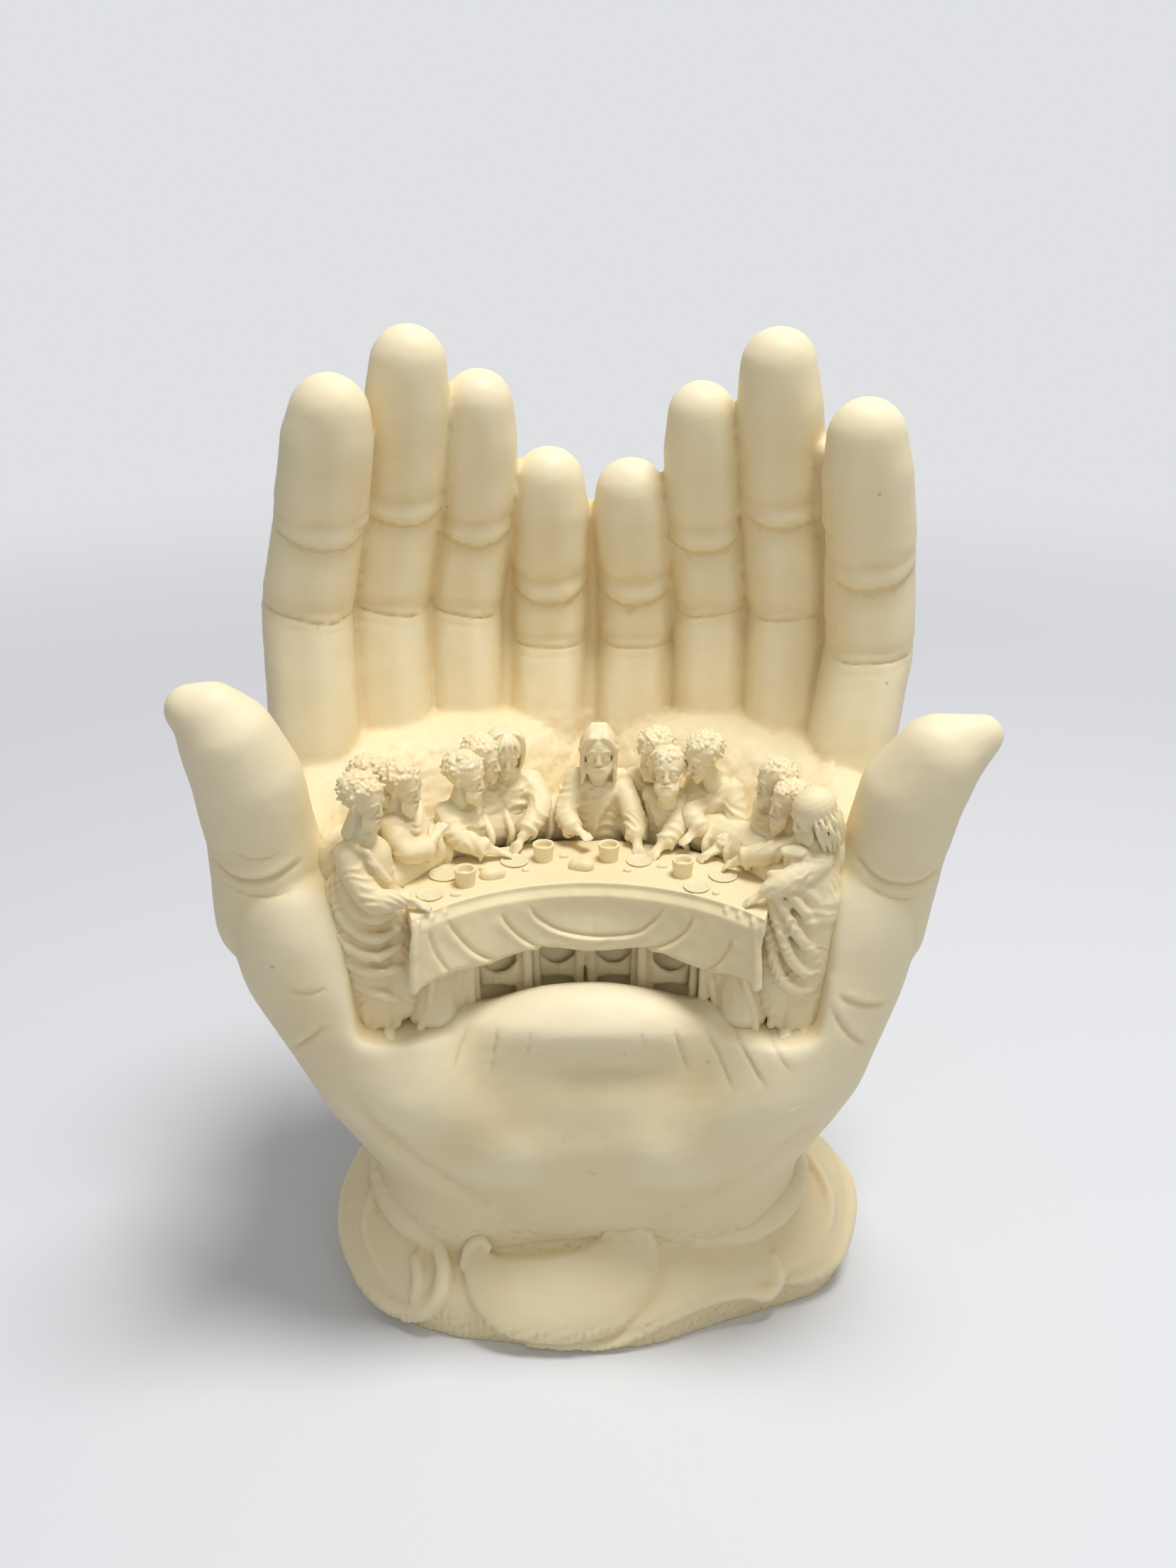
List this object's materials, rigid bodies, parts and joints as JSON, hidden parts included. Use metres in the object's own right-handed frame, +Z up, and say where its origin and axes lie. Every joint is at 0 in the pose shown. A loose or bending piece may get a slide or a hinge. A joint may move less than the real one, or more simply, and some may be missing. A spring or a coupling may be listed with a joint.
{
  "type": "religious hands sculpture",
  "caption": "Cupped hands rising from an oval draped foot, their palms holding a small supper scene at a crescent table; one solid casting.",
  "frame": {"origin": "middle of the flat underside of the foot, on the ground", "axes": "+Z up along the hands, -Y the way the palms and the supper scene face, +X to the right seen from the front"},
  "size_m": [0.1057, 0.0666, 0.1405],
  "materials": {
    "ivory_resin": "cast ivory resin, matt with a soft waxy sheen, a little yellower in the creases"
  },
  "bodies": {
    "root": {"hands_sculpture": "ivory_resin"}
  },
  "joints": []
}
